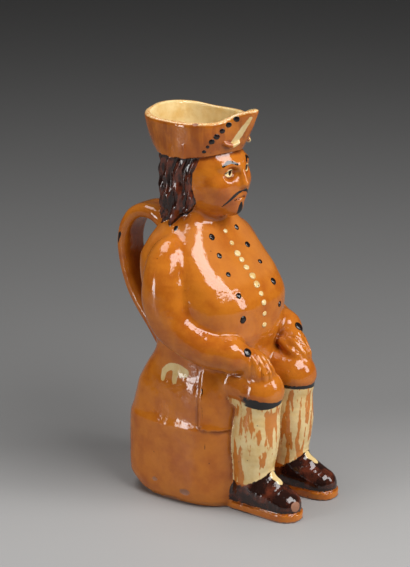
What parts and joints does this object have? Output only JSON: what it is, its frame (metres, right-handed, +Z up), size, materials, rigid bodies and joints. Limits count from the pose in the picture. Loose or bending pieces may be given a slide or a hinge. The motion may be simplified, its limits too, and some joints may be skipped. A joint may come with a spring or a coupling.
{
  "type": "toby jug",
  "caption": "Hollow jug shaped as a seated figure, with a strap handle behind and a cornered hat that is its open mouth and pouring spout.",
  "frame": {"origin": "centre of the flat underside of the seat, on the surface the jug stands on", "axes": "+Z up, -Y the way the figure faces, +X to the figure's left"},
  "size_m": [0.11, 0.1458, 0.2435],
  "materials": {
    "glaze": "glossy lead glaze over orange-brown slip, with manganese brown and cream slip"
  },
  "bodies": {
    "root": {"toby_jug": "glaze"}
  },
  "joints": []
}
